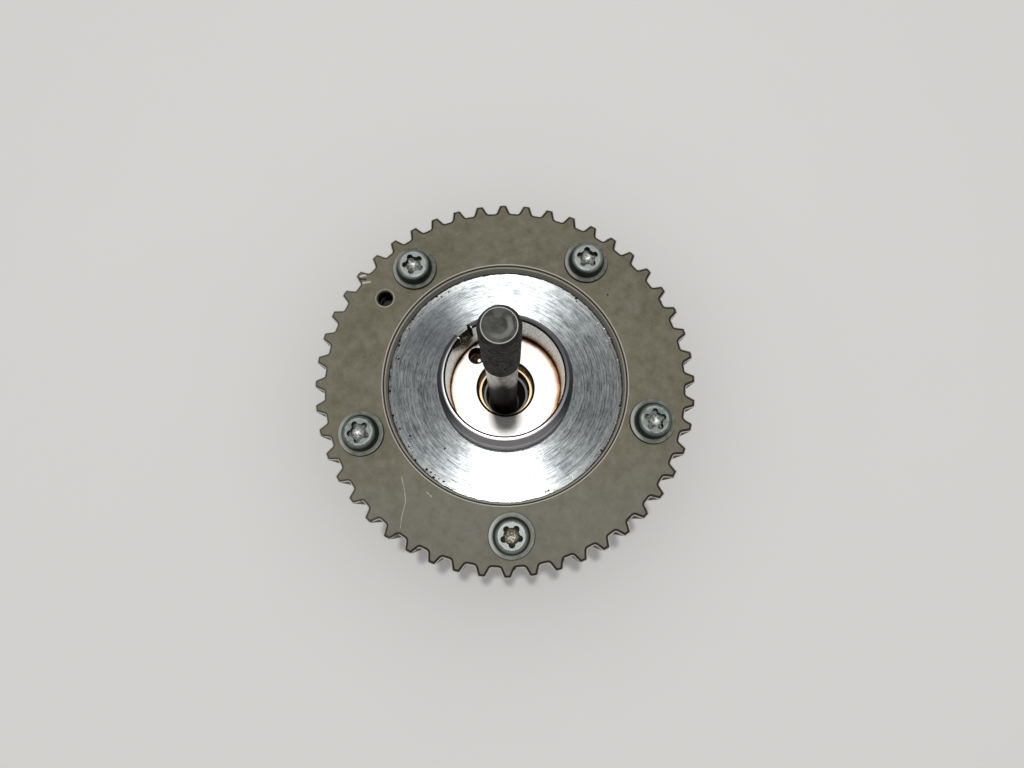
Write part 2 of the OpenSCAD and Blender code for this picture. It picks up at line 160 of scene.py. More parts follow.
# Bolt
BOLT_AT = polar(2.35, 250)
BOLT_SEAT = 10.0
BOLT_TIP = 106.0
THREAD_FROM = 74.0
THREAD_R = 4.97
THREAD_ROOT_R = 4.1
THREAD_PITCH = 1.5
THREAD_FADE = 2.0
SHANK_R = 4.5
SHANK_RING_Z = 40.0
SHANK_BEVEL = 0.3
TIP_FLAT_R = 4.0
TIP_BEVEL = 0.2
# Heights over which the shank is painted darker as shade and reflection
DARK_TO_Z = 62
DARK_FADED_Z = 76
HEX_Z = 0.6
HEX_TOP_Z = 7.6
HEX_BEVEL_H = 1.0
HEX_AF = 15.0
HEX_CORNER_R = HEX_AF / math.sqrt(3)
HEX_END_R = HEX_AF / 2 - 0.4
HEAD_LEDGE = 0.2
HEAD_FLANGE_R = 10.5
HEAD_FLANGE_Z = 9.0
HEAD_BEVEL = 0.3

# Share of the pitch and radius at each corner of the thread's profile
THREAD_PROFILE = ((0.0, THREAD_ROOT_R), (0.25, THREAD_ROOT_R), (0.5625, THREAD_R), (0.6875, THREAD_R))

# Radius and depth of the dish in the bolt's tip
TIP_DISH = ((TIP_FLAT_R - 0.4, 0), (2.2, 0.1), (0.3, 0.12))

# Fineness of meshes, the angle from which an edge is sharp, and the distance within which points are joined
CORNER_STEPS = 4
BORE_SIDES = 160
HOLE_SIDES = 40
BOLT_SIDES = 72
HEX_SIDES = 6
SHARP_ANGLE = math.radians(20)
MERGE = 0.0005

# Colours that more than one stain, mark or painted shade has
BARE_STEEL = (0.5, 0.48, 0.42)
# Painted shade on the chamfers of the web's bore and of the teeth
CHAMFER_SHADE = (0.035, 0.03, 0.024)


# Shading helper


class Shade:
    """Builds one material. Values are numbers or sockets, and positions are in the part's frame."""

    def __init__(self, name):
        self.material = bpy.data.materials.new(name)
        self.material.use_nodes = True
        self.tree = self.material.node_tree
        self.tree.nodes.clear()
        out = self.node("ShaderNodeOutputMaterial")
        self.bsdf = self.node("ShaderNodeBsdfPrincipled")
        self.tree.links.new(self.bsdf.outputs[0], out.inputs["Surface"])
        place = self.node("ShaderNodeTexCoord").outputs["Object"]
        self.p = self.vector("SCALE", place, scale=1 / MM)
        self.x, self.y, self.z = self.split(self.p)
        self.r = self.vector("LENGTH", self.join(self.x, self.y, 0))
        self.angle = self.math("DEGREES", self.math("ARCTAN2", self.y, self.x))

    def node(self, kind, **settings):
        made = self.tree.nodes.new(kind)
        for key, value in settings.items():
            setattr(made, key, value)
        return made

    def feed(self, socket, value):
        if isinstance(value, bpy.types.NodeSocket):
            self.tree.links.new(value, socket)
        elif isinstance(value, (tuple, list)) and len(value) == 3 and socket.type == "RGBA":
            socket.default_value = (*value, 1)
        else:
            socket.default_value = value

    def math(self, operation, *values, clamp=False):
        made = self.node("ShaderNodeMath", operation=operation, use_clamp=clamp)
        for socket, value in zip(made.inputs, values):
            self.feed(socket, value)
        return made.outputs[0]

    def vector(self, operation, *values, scale=None):
        made = self.node("ShaderNodeVectorMath", operation=operation)
        for socket, value in zip(made.inputs, values):
            self.feed(socket, value)
        if scale is not None:
            made.inputs["Scale"].default_value = scale
        return made.outputs["Value" if operation in ("LENGTH", "DISTANCE", "DOT_PRODUCT") else "Vector"]

    def split(self, vector):
        made = self.node("ShaderNodeSeparateXYZ")
        self.feed(made.inputs[0], vector)
        return made.outputs

    def join(self, x, y, z):
        made = self.node("ShaderNodeCombineXYZ")
        for socket, value in zip(made.inputs, (x, y, z)):
            self.feed(socket, value)
        return made.outputs[0]

    def chain(self, operation, values):
        result = values[0]
        for value in values[1:]:
            result = self.math(operation, result, value)
        return result

    def times(self, *values):
        return self.chain("MULTIPLY", values)

    def plus(self, *values):
        return self.chain("ADD", values)

    def most(self, *values):
        return self.chain("MAXIMUM", values)

    def minus(self, value, less):
        return self.math("SUBTRACT", value, less)

    def rise(self, value, low, high):
        """0 below low, 1 above high, smooth between. With low above high it falls instead."""
        made = self.node("ShaderNodeMapRange", interpolation_type="SMOOTHSTEP")
        flip = low > high
        self.feed(made.inputs[0], value)
        made.inputs[1].default_value = min(low, high)
        made.inputs[2].default_value = max(low, high)
        made.inputs[3].default_value = float(flip)
        made.inputs[4].default_value = float(not flip)
        return made.outputs[0]

    def band(self, value, low, high, soft):
        """1 between low and high, with soft edges."""
        above = self.rise(value, low - soft, low + soft)
        return self.times(above, self.rise(value, high + soft, high - soft))

    def lerp(self, factor, low, high):
        """A number that goes from low to high with factor."""
        return self.math("MULTIPLY_ADD", factor, high - low, low)

    def blend(self, factor, below, above):
        """A colour that goes from below to above with factor."""
        made = self.node("ShaderNodeMix", data_type="RGBA")
        self.feed(made.inputs[0], factor)
        self.feed(made.inputs[6], below)
        self.feed(made.inputs[7], above)
        return made.outputs[2]

    def shades(self, value, low, high, below, above):
        """A colour that goes from below to above as value rises from low to high."""
        return self.blend(self.rise(value, low, high), below, above)

    def coat(self, color, above, *masks):
        """A colour with another over it, as far as all masks let it through."""
        return self.blend(self.times(*masks), color, above)

    def noise(self, scale, detail=3.0, rough=0.55, at=None):
        """Noise with about scale features per millimetre."""
        made = self.node("ShaderNodeTexNoise")
        self.feed(made.inputs["Vector"], at or self.p)
        made.inputs["Scale"].default_value = scale
        made.inputs["Detail"].default_value = detail
        made.inputs["Roughness"].default_value = rough
        return made.outputs[0]

    def rings(self, across, along, detail, rough, layer=0):
        """Noise drawn out in circles, with features per millimetre across and per degree along."""
        at = self.join(self.times(self.r, across), self.times(self.angle, along), layer)
        return self.noise(1.0, detail, rough, at)

    def dots(self, scale):
        """Distance to the nearest of scattered points, in cells of 1 / scale millimetres."""
        made = self.node("ShaderNodeTexVoronoi")
        self.feed(made.inputs["Vector"], self.p)
        made.inputs["Scale"].default_value = scale
        return made.outputs["Distance"]

    def distance(self, x, y):
        """Distance from a point, seen along the axis."""
        return self.vector("DISTANCE", self.join(self.x, self.y, 0), (x, y, 0))

    def spot(self, x, y, radius, soft):
        """1 within radius of a point, seen along the axis."""
        return self.rise(self.distance(x, y), radius + soft, radius - soft)

    def line(self, points, width, soft):
        """1 along a chain of points in x and y."""
        here = self.join(self.x, self.y, 0)
        found = []
        for (ax, ay), (bx, by) in zip(points, points[1:]):
            step = Vector((bx - ax, by - ay, 0))
            out = self.vector("SUBTRACT", here, (ax, ay, 0))
            along = self.vector("DOT_PRODUCT", out, tuple(step))
            share = self.math("DIVIDE", along, step.length_squared, clamp=True)
            foot = self.vector("MULTIPLY", self.join(share, share, 0), tuple(step))
            away = self.vector("DISTANCE", out, foot)
            found.append(self.rise(away, width + soft, max(width - soft, 0)))
        return self.most(*found)

    def from_screw(self):
        """Distance from the nearest screw's axis, and how far towards -X and -Y of it."""
        pitch = 360 / SCREWS
        past = self.math("MODULO", self.plus(self.angle, 360 - FIRST_SCREW + pitch / 2), pitch)
        spoke = self.math("RADIANS", self.minus(self.angle, self.minus(past, pitch / 2)))
        west = self.minus(self.times(self.math("COSINE", spoke), SCREW_R), self.x)
        south = self.minus(self.times(self.math("SINE", spoke), SCREW_R), self.y)
        return self.vector("LENGTH", self.join(west, south, 0)), west, south

    def bump(self, height, depth, strength=1.0):
        """Relief of the given depth in millimetres on top of what is there."""
        made = self.node("ShaderNodeBump")
        made.inputs["Distance"].default_value = depth * MM
        made.inputs["Strength"].default_value = strength
        self.feed(made.inputs["Height"], height)
        before = self.bsdf.inputs["Normal"].links
        if before:
            self.tree.links.new(before[0].from_socket, made.inputs["Normal"])
        self.tree.links.new(made.outputs[0], self.bsdf.inputs["Normal"])

    def turned_round(self, amount):
        """Grain that runs in circles around the axis, which spreads highlights along the radius."""
        across = self.node("ShaderNodeVectorTransform", vector_type="VECTOR")
        across.convert_from = "OBJECT"
        across.convert_to = "WORLD"
        self.feed(across.inputs[0], self.join(self.x, self.y, 0))
        self.feed(self.bsdf.inputs["Anisotropic"], amount)
        self.feed(self.bsdf.inputs["Tangent"], self.vector("NORMALIZE", across.outputs[0]))

    def finish(self, color, roughness, metallic):
        self.feed(self.bsdf.inputs["Base Color"], color)
        self.feed(self.bsdf.inputs["Roughness"], roughness)
        self.feed(self.bsdf.inputs["Metallic"], metallic)
        return self.material


# Sprocket


def coat_web_bore(s, color):
    """Bright turned bore, with its chamfer painted dark as shade and a painted highlight along its upper
    edge. Also returns where the bore is.
    """
    mouth_r = WEB_BORE_R + WEB_CHAMFER
    bore = s.times(s.rise(s.r, mouth_r + 0.17, mouth_r + 0.07), s.rise(s.z, DISC_Z - 0.5, DISC_Z))
    lines = s.noise(1.0, 2, 0.5, s.join(s.times(s.z, 4), s.times(s.angle, 0.02), 0))
    color = s.coat(color, s.shades(lines, 0.35, 0.65, (0.4, 0.37, 0.3), (0.62, 0.58, 0.5)), bore)
    # Painted shade on the chamfer
    color = s.coat(color, CHAMFER_SHADE, s.band(s.r, mouth_r - 0.63, mouth_r - 0.21, 0.08))
    # Painted highlight along the chamfer's upper edge
    color = s.coat(color, (0.62, 0.6, 0.53), s.band(s.r, mouth_r - 0.15, mouth_r + 0.09, 0.06))
    return color, bore


def coat_teeth(s, color):
    """Chamfer along the teeth painted dark as shade, lighter to the left where light falls, with a painted
    highlight along its top on the left. Also returns its lower edge, worn smooth and painted bright as a
    highlight.
    """
    teeth = s.rise(s.r, RIM_FROM_R, RIM_FROM_R + 0.5)
    leftward = s.rise(s.x, -25, -50)
    slope = s.rise(s.z, PLATE_Z - 0.01, PLATE_Z - 0.04)
    # Painted shade on the chamfer, lighter to the left
    color = s.coat(color, s.blend(leftward, CHAMFER_SHADE, (0.1, 0.094, 0.076)), teeth, slope, 0.9)
    # Painted highlight along the top of the chamfer, on the left
    crest = s.band(s.z, PLATE_Z - 0.12, PLATE_Z - 0.02, 0.03)
    color = s.coat(color, (0.4, 0.38, 0.32), teeth, crest, leftward, 0.7)
    # Worn lower edge of the chamfer, painted bright as a highlight
    chamfer_foot = PLATE_Z - EDGE_CHAMFER_H
    worn_highlight_band = s.band(s.z, chamfer_foot - 0.05, chamfer_foot + 0.17, 0.03)
    edge = s.times(teeth, worn_highlight_band, s.rise(s.noise(0.5, 2), 0.25, 0.45))
    return s.coat(color, (0.7, 0.67, 0.58), edge), edge


def coat_web_hole(s, color):
    """Brown wall and pale mouth of the small hole, the mouth painted lighter to the lower right as a
    highlight and the depth painted dark as shade.
    """
    at = polar(SCREW_R, WEB_HOLE_ANGLE)
    mouth_r = WEB_HOLE_R + WEB_HOLE_CHAMFER
    wall = s.rise(s.z, PLATE_Z - 0.02, PLATE_Z - 0.2)
    color = s.coat(color, (0.11, 0.078, 0.052), s.spot(*at, mouth_r + 0.25, 0.25), wall)
    mouth = s.times(s.spot(*at, mouth_r + 0.17, 0.06), s.band(s.z, PLATE_Z - 0.25, PLATE_Z + 0.1, 0.05))
    middle = at[0] - at[1]
    lower_right = s.rise(s.minus(s.x, s.y), middle - 1, middle + 1)
    # Bare mouth, painted lighter to the lower right as a highlight
    color = s.coat(color, BARE_STEEL, mouth, s.lerp(lower_right, 0.65, 1.0))
    # Painted shade down the hole
    depth = s.rise(s.z, PLATE_Z - 0.5, PLATE_Z - 1.2)
    return s.coat(color, (0.02, 0.015, 0.012), s.spot(*at, WEB_HOLE_R + 0.25, 0.1), depth)


def coat_web_wear(s, color):
    """Scratches, nicks and a pit. Also returns the bare metal and the dents."""
    scratch = s.most(s.line(LONG_SCRATCH, 0.13, 0.12), s.line(SHORT_SCRATCH, 0.15, 0.12))
    nick = s.most(s.line(NICK_ABOVE, 0.35, 0.3), s.line(NICK_BELOW, 0.3, 0.25))
    bare = s.times(s.most(s.times(scratch, 0.6), nick), s.rise(s.noise(2.5, 2), 0.3, 0.5))
    color = s.coat(color, (0.04, 0.035, 0.028), s.line(NICK_SHADE, 0.3, 0.25))
    color = s.coat(color, BARE_STEEL, bare)
    color = s.coat(color, (0.02, 0.018, 0.015), s.spot(*WEB_PIT, 0.3, 0.15))
    return color, bare, s.most(scratch, nick)


def sintered_steel():
    """Mottled web, lighter towards -Y, with a painted shadow round each screw's flange on its -Y side."""
    s = Shade("sintered_steel")
    cloud = s.noise(0.09, 4)
    grain = s.noise(5.0, 2)
    blotch = s.noise(0.3, 5, 0.6)
    color = s.shades(cloud, 0.3, 0.7, (0.145, 0.134, 0.092), (0.185, 0.174, 0.126))
    color = s.coat(color, (0.26, 0.245, 0.187), s.rise(grain, 0.35, 0.65), 0.35)
    color = s.coat(color, (0.245, 0.235, 0.2), s.rise(blotch, 0.48, 0.68), 0.42)
    color = s.coat(color, (0.11, 0.1, 0.072), s.rise(blotch, 0.5, 0.3), 0.42)
    color = s.coat(color, (0.23, 0.23, 0.212), s.rise(s.y, -12, -48), 0.3)
    out, _, south = s.from_screw()
    # Painted shadow in a ring round each flange, on its -Y side
    flange_shadow = s.band(out, FLANGE_R - 0.05, FLANGE_R + 0.25, 0.08)
    color = s.coat(color, (0.025, 0.022, 0.016), flange_shadow, s.rise(south, -12, 2))
    color = s.coat(color, (0.06, 0.054, 0.042), s.rise(s.noise(1.4, 1), 0.7, 0.76), 0.35)
    color, bore = coat_web_bore(s, color)
    color, edge = coat_teeth(s, color)
    color = coat_web_hole(s, color)
    color, bare, dents = coat_web_wear(s, color)
    rough = s.plus(s.lerp(cloud, 0.56, 0.68), s.times(s.most(bare, edge), -0.25))
    s.bump(grain, 0.02, 0.35)
    s.bump(s.times(dents, -1), 0.08, 0.6)
    return s.finish(color, rough, s.lerp(bore, 0.8, 0.3))


# Rear cover


def disc_pits(s):
    """A ragged band of pits at the disc's edge, denser to the left, single pits and a dark corner."""
    crowd = s.noise(1.0, 2, 0.5, s.join(s.times(s.angle, 0.12), 5, 0))
    left = s.rise(s.math("ABSOLUTE", s.angle), 110, 140)
    edge = s.band(s.plus(s.r, s.times(s.noise(0.4), -1.2)), 36.1, 37.9, 0.3)
    pits = s.rise(s.plus(s.dots(0.7), s.times(s.noise(1.7, 2), -0.3)), 0.16, 0.08)
    pits = s.times(pits, edge, s.rise(s.math("MULTIPLY_ADD", left, 0.22, crowd), 0.52, 0.6))
    single = [s.spot(x, y, 0.3, 0.15) for x, y in LONE_PITS]
    ragged = s.plus(s.r, s.times(s.noise(0.6, 3), 0.7))
    corner = s.rise(ragged, WEB_BORE_R - 0.08, WEB_BORE_R + 0.17)
    return s.most(pits, *single, s.times(corner, 0.9))


def coat_disc(s, disc, rings):
    """Turned disc: rings, dashes, paler edges, a stain and pits. Also returns the pits."""
    cloud = s.noise(0.25, 5, 0.7)
    dashes = s.rings(2.8, 0.13, 2, 0.6, 11)
    cross = s.rings(2.4, 0.3, 2, 0.6, 7)
    specks = s.rise(s.noise(1.3, 2), 0.66, 0.72)
    color = s.shades(rings, 0.34, 0.66, (0.135, 0.146, 0.149), (0.29, 0.307, 0.31))
    color = s.coat(color, (0.05, 0.057, 0.06), s.rise(cloud, 0.42, 0.62), 0.4)
    pale = s.rise(s.plus(s.r, s.times(s.noise(0.3), 1.6)), 35.6, 37.2)
    pale = s.most(pale, s.times(s.rise(s.r, 27, 23), 0.7))
    color = s.coat(color, (0.3, 0.305, 0.295), pale, disc, 0.4)
    color = s.coat(color, (0.33, 0.345, 0.345), s.rise(dashes, 0.5, 0.68), disc, 0.55)
    color = s.coat(color, (0.05, 0.056, 0.06), s.rise(dashes, 0.48, 0.32), disc, 0.65)
    color = s.coat(color, (0.035, 0.04, 0.043), s.rise(cross, 0.54, 0.7), disc, 0.5)
    stain = s.times(s.band(s.angle, 118, 156, 16), s.rise(s.r, 38, 33))
    color = s.coat(color, (0.05, 0.056, 0.062), stain, disc, 0.65)
    color = s.coat(color, (0.4, 0.42, 0.42), specks, disc, 0.25)
    pits = s.times(disc_pits(s), disc)
    return s.coat(color, (0.01, 0.009, 0.008), pits), pits


def coat_collar_outside(s, color, rings, outer, below, lead_in):
    """Polished collar, painted bright where it faces -Y as a reflection and dark elsewhere, with a lip
    painted lighter to the lower left as a highlight and its inner chamfer painted dark as shade.
    """
    # Painted reflection and shade: bright on the -Y side, dark elsewhere, less bright on the lead-in cone
    lit = s.times(below, s.lerp(lead_in, 1.0, 0.5))
    painted_reflection = s.blend(lit, (0.022, 0.02, 0.022), (0.75, 0.72, 0.73))
    painted_reflection = s.coat(painted_reflection, (0.2, 0.19, 0.196), s.rise(rings, 0.4, 0.7), 0.25)
    color = s.coat(color, painted_reflection, outer)
    top = s.rise(s.z, COLLAR_Z - 0.6, COLLAR_Z - 0.45)
    # Lip painted lighter towards the lower left as a highlight
    lit = s.times(s.rise(s.plus(s.x, s.y), 4, -14), s.rise(s.r, LIP_R - 0.2, LIP_R - 0.55))
    lip = s.blend(lit, (0.05, 0.047, 0.05), (0.3, 0.295, 0.285))
    color = s.coat(color, lip, s.band(s.r, LIP_FROM_R, LIP_R, 0.04), top)
    # Inner chamfer painted dark as shade
    chamfer = s.rise(s.r, LIP_FROM_R + 0.02, LIP_FROM_R - 0.02)
    return s.coat(color, (0.012, 0.011, 0.011), chamfer, top)


def coat_collar_inside(s, color, grains, inside):
    """Grainy wall with brown varnish at its foot, redder to the right."""
    wall = s.shades(grains, 0.38, 0.5, (0.16, 0.155, 0.14), (1.0, 0.99, 0.95))
    color = s.coat(color, wall, inside)
    height = s.minus(s.z, s.times(s.noise(0.5), 0.8))
    right = s.rise(s.x, 0, 10)
    halo = s.rise(s.minus(height, s.times(right, 1.2)), ROTOR_Z + 1.65, ROTOR_Z + 0.45)
    color = s.coat(color, s.blend(right, (0.45, 0.3, 0.15), (0.3, 0.13, 0.04)), halo, inside)
    return s.coat(color, (0.06, 0.03, 0.012), inside, s.rise(height, ROTOR_Z + 0.45, ROTOR_Z + 0.15))


def coat_slot(s, color):
    """Darkens the slot and a fan beside it, and brightens the slot's edges as bare steel painted brighter as
    a highlight. Also returns the darkened area.
    """
    high = s.rise(s.z, SLOT_Z - 1.0, SLOT_Z - 0.8)
    within = s.rise(s.r, JOURNAL_R + 0.35, JOURNAL_R - 0.25)
    slot = s.times(s.band(s.angle, SLOT_LOW - 0.1, SLOT_HIGH + 0.1, 0.3), within, high)
    dark_fill = s.shades(s.noise(1.1, 3), 0.5, 0.62, (0.016, 0.013, 0.01), (0.075, 0.066, 0.05))
    color = s.coat(color, dark_fill, slot)
    slope = s.minus(s.z, s.times(s.minus(s.angle, SLOT_HIGH - 0.3), 0.45))
    fan = s.rise(s.plus(slope, s.times(s.noise(0.8, 2), 2)), SLOT_Z + 1.4, SLOT_Z + 2.0)
    beside = s.band(s.angle, SLOT_HIGH + 0.3, DARK_FAN_END, 0.2)
    darkened = s.times(beside, fan, s.rise(s.r, LIP_R - 0.5, LIP_R - 0.8))
    color = s.coat(color, (0.012, 0.01, 0.008), darkened, 0.95)
    # Bright slot edges: bare steel, painted brighter as a highlight
    far_edge = s.band(s.angle, SLOT_HIGH - 0.4, SLOT_HIGH + 0.4, 0.15)
    near_edge = s.band(s.angle, SLOT_LOW - 0.4, SLOT_LOW + 0.3, 0.15)
    edges = s.times(s.most(far_edge, near_edge), high, s.rise(s.r, LIP_R - 0.3, LIP_R - 0.6))
    return s.coat(color, (0.75, 0.73, 0.68), edges), s.most(darkened, slot)


def turned_steel():
    """Turned disc, and a collar that is polished outside with painted reflection and shade, grainy inside and
    darkened at its slot.
    """
    s = Shade("turned_steel")
    rings = s.rings(2.2, 0.015, 4, 0.7)
    fine = s.rings(8, 0.06, 3, 0.6, 3)
    grains = s.noise(2.2, 3, 0.7)
    flat = s.rise(s.z, DISC_Z + 0.7, DISC_Z + 0.2)
    disc = s.times(flat, s.rise(s.r, JOURNAL_R + 0.35, JOURNAL_R + 0.95))
    outer = s.times(s.rise(s.r, LIP_R - 0.05, LIP_R + 0.05), s.rise(s.z, DISC_Z + 0.1, DISC_Z + 0.6))
    lead_in = s.rise(s.z, LEAD_IN_Z - 0.1, LEAD_IN_Z + 0.1)
    below = s.rise(s.y, -6, -19)
    bore = s.rise(s.r, COLLAR_BORE_R + 0.2, COLLAR_BORE_R + 0.1)
    inside = s.times(bore, s.rise(s.z, COLLAR_Z - 0.45, COLLAR_Z - 0.6))
    color, pits = coat_disc(s, disc, rings)
    color = coat_collar_outside(s, color, rings, outer, below, lead_in)
    color = coat_collar_inside(s, color, grains, inside)
    color, darkened = coat_slot(s, color)
    polish = s.times(outer, s.lerp(lead_in, 0.22, 0.02))
    rough = s.plus(s.lerp(rings, 0.225, 0.275), polish, s.times(darkened, 0.3))
    s.turned_round(disc)
    s.bump(s.times(fine, disc), 0.006, 0.5)
    s.bump(s.times(pits, -1), 0.1, 0.8)
    s.bump(s.times(grains, inside), 0.03, 0.5)
    return s.finish(color, rough, s.lerp(s.times(outer, below), 1.0, 0.25))


# Rotor


def coat_varnish(s, color, face):
    """Brown varnish where the face meets the collar, redder to the right, with a dark line."""
    waver = s.plus(s.r, s.times(s.noise(0.3, 3), 0.9))
    right = s.rise(s.x, 0, 10)
    near = s.times(face, s.rise(s.r, COLLAR_BORE_R + 1.6, COLLAR_BORE_R + 0.6))
    halo = s.rise(s.plus(waver, s.times(right, 0.5)), COLLAR_BORE_R - 0.9, COLLAR_BORE_R + 0.3)
    color = s.coat(color, s.blend(right, (0.24, 0.15, 0.07), (0.16, 0.065, 0.018)), halo, near, 0.9)
    return s.coat(color, (0.035, 0.014, 0.005), s.rise(waver, COLLAR_BORE_R - 0.1, COLLAR_BORE_R + 0.2), near)


def coat_rotor_bore(s, color):
    """Stepped bore: brown chamfer, tan pilot, oil space painted dark as shade, cone painted nearly white as a
    highlight and the hole below it painted dark as shade. Also returns the cone.
    """
    bore = s.times(s.rise(s.r, PILOT_R + 0.15, PILOT_R), s.rise(s.z, ROTOR_Z, ROTOR_Z - 0.05))
    chamfer = s.shades(s.r, PILOT_R - 0.6, PILOT_R - 0.2, (0.4, 0.27, 0.14), (0.28, 0.185, 0.09))
    color = s.coat(color, chamfer, bore, s.rise(s.z, PILOT_TOP_Z - 0.1, PILOT_TOP_Z + 0.1))
    pilot = s.shades(s.z, PILOT_Z, PILOT_TOP_Z - 0.6, (0.34, 0.25, 0.15), (0.12, 0.075, 0.035))
    color = s.coat(color, pilot, bore, s.band(s.z, PILOT_Z, PILOT_TOP_Z, 0.1))
    # Oil space painted dark as shade
    color = s.coat(color, (0.03, 0.025, 0.02), bore, s.band(s.z, CONE_TOP_Z, PILOT_Z, 0.1))
    cone = s.times(bore, s.band(s.z, CONE_Z, CONE_TOP_Z - 0.1, 0.1))
    # Cone painted nearly white as a highlight
    color = s.coat(color, (0.9, 0.89, 0.86), cone)
    # Hole below the cone painted dark as shade
    return s.coat(color, (0.03, 0.028, 0.026), bore, s.rise(s.z, CONE_Z + 0.1, CONE_Z - 0.1)), cone


def coat_dowel_hole(s, color):
    """Hole painted nearly black as shade, with a painted glint."""
    deep = s.rise(s.z, ROTOR_Z - 0.02, ROTOR_Z - 0.2)
    dowel = s.times(s.spot(*DOWEL_AT, DOWEL_R + 0.05, 0.05), deep)
    dark_fill = s.shades(s.noise(0.9, 2), 0.5, 0.65, (0.006, 0.004, 0.003), (0.03, 0.014, 0.01))
    # Painted shade: the hole nearly black
    color = s.coat(color, dark_fill, dowel)
    # Painted glint in the hole
    return s.coat(color, (0.6, 0.52, 0.46), dowel, s.spot(*DOWEL_GLINT, 0.45, 0.3))


def rotor_steel():
    """Pale turned face with a few oil drops."""
    s = Shade("rotor_steel")
    rings = s.rings(6, 0.03, 3, 0.6)
    face = s.rise(s.z, ROTOR_Z - 0.06, ROTOR_Z - 0.01)
    color = s.shades(rings, 0.3, 0.7, (0.315, 0.31, 0.296), (0.405, 0.4, 0.386))
    color = coat_varnish(s, color, face)
    color, cone = coat_rotor_bore(s, color)
    color = coat_dowel_hole(s, color)
    color = s.coat(color, (0.16, 0.11, 0.06), face, s.rise(s.noise(0.9, 1), 0.7, 0.74), 0.3)
    s.turned_round(s.times(face, 0.4))
    s.bump(rings, 0.004, 0.4)
    return s.finish(color, s.lerp(rings, 0.3, 0.42), s.lerp(cone, 1.0, 0.2))


# Screws


def coat_screw_outside(s, color, cloud, out, west):
    """Darker flange painted lighter on its -X side as a highlight, a broken ring at the socket's mouth
    painted bright as a highlight, and the dome's side and flange rim painted dark as shade.
    """
    flange = s.times(s.rise(out, HEAD_R + 0.15, HEAD_R + 0.35), s.rise(s.z, FLANGE_Z + 0.4, FLANGE_Z + 0.1))
    dull = s.shades(cloud, 0.35, 0.65, (0.085, 0.09, 0.075), (0.145, 0.15, 0.128))
    color = s.coat(color, dull, flange)
    # Flange painted lighter towards -X of the screw as a highlight
    color = s.coat(color, (0.36, 0.365, 0.33), flange, s.rise(west, 2, 6.5), 0.5)
    # Broken ring painted bright as a highlight
    ring = s.band(out, HEAD_TOP_R - 0.15, HEAD_TOP_R + 0.05, 0.1)
    broken = s.times(s.rise(s.z, HEAD_Z - 0.3, HEAD_Z - 0.1), s.rise(cloud, 0.35, 0.6))
    color = s.coat(color, (0.55, 0.58, 0.55), ring, broken, 0.55)
    # Dome side and flange rim painted dark as shade
    side = s.times(s.band(out, HEAD_R - 0.85, HEAD_R + 0.25, 0.4), s.rise(s.z, HEAD_Z - 0.2, HEAD_Z - 0.9))
    edge = s.times(s.rise(out, FLANGE_R - 0.1, FLANGE_R - 0.03), s.rise(s.z, FLANGE_Z - 0.1, FLANGE_Z - 0.2))
    return s.coat(color, (0.035, 0.042, 0.038), s.most(s.times(side, 0.85), edge))


def coat_socket(s, color, out):
    """Socket painted dark as shade, with a mottled floor, and dirt in the lowest one. Also returns floor and
    dirt.
    """
    socket = s.times(s.rise(out, SOCKET_R + 0.3, SOCKET_R + 0.1), s.rise(s.z, HEAD_Z - 0.05, HEAD_Z - 0.4))
    floor = s.times(socket, s.rise(s.z, SOCKET_Z + 0.25, SOCKET_Z + 0.05))
    # Painted shade in the socket
    color = s.coat(color, (0.03, 0.034, 0.032), socket, 0.9)
    mottle = s.shades(s.noise(1.4, 3), 0.42, 0.58, (0.14, 0.144, 0.135), (0.4, 0.41, 0.39))
    color = s.coat(color, mottle, floor, 0.9)
    dirt = s.times(floor, s.rise(s.y, -42, -43))
    lumps = s.noise(1.6, 3)
    color = s.coat(color, s.shades(lumps, 0.4, 0.6, (0.1, 0.085, 0.055), (0.36, 0.325, 0.23)), dirt, 0.8)
    rim = s.rise(s.plus(out, s.times(s.noise(0.9, 3), 1.2)), 2.3, 3.1)
    color = s.coat(color, (0.03, 0.024, 0.015), dirt, rim, 0.9)
    return color, floor, s.times(dirt, lumps)


def zinc_plate():
    """Grey plating, with paler heads on the upper screws and the lowest one."""
    s = Shade("zinc_plate")
    out, west, _ = s.from_screw()
    cloud = s.noise(0.6, 4)
    grain = s.noise(4.0, 2)
    color = s.shades(cloud, 0.3, 0.7, (0.115, 0.132, 0.12), (0.21, 0.233, 0.215))
    color = s.coat(color, (0.33, 0.355, 0.335), s.rise(grain, 0.45, 0.7), 0.3)
    pale = s.most(s.rise(s.y, 15, 35), s.times(s.rise(s.y, -30, -42), 0.65))
    color = s.coat(color, (0.38, 0.405, 0.385), pale, s.rise(out, HEAD_R - 0.35, HEAD_TOP_R - 0.3), 0.6)
    color = coat_screw_outside(s, color, cloud, out, west)
    color, floor, dirt = coat_socket(s, color, out)
    rough = s.minus(s.lerp(cloud, 0.36, 0.5), s.times(floor, 0.04))
    s.bump(s.times(floor, out, out, 0.08), 1.0)
    s.bump(dirt, 0.12)
    s.bump(grain, 0.02, 0.3)
    return s.finish(color, rough, 0.9)


# Bolt


def coat_bolt_tip(s, color, away):
    """Dull tip with a ground patch and a bright ring."""
    tip = s.rise(s.z, BOLT_TIP - 0.25, BOLT_TIP - 0.12)
    dull = s.shades(s.noise(0.35, 3), 0.38, 0.62, (0.025, 0.026, 0.024), (0.055, 0.056, 0.051))
    color = s.coat(color, dull, tip)
    lower_right = s.rise(s.minus(s.minus(s.x, s.y), BOLT_AT[0] - BOLT_AT[1]), -1.5, 2)
    ground = s.band(s.plus(away, s.times(s.noise(0.6, 2), 0.8)), 2.3, 3.4, 0.3)
    color = s.coat(color, (0.15, 0.148, 0.14), ground, lower_right, tip, 0.6)
    ring = s.band(away, TIP_FLAT_R - 0.1, TIP_FLAT_R + 0.12, 0.05)
    return s.coat(color, (0.5, 0.48, 0.45), ring, tip, 0.8)


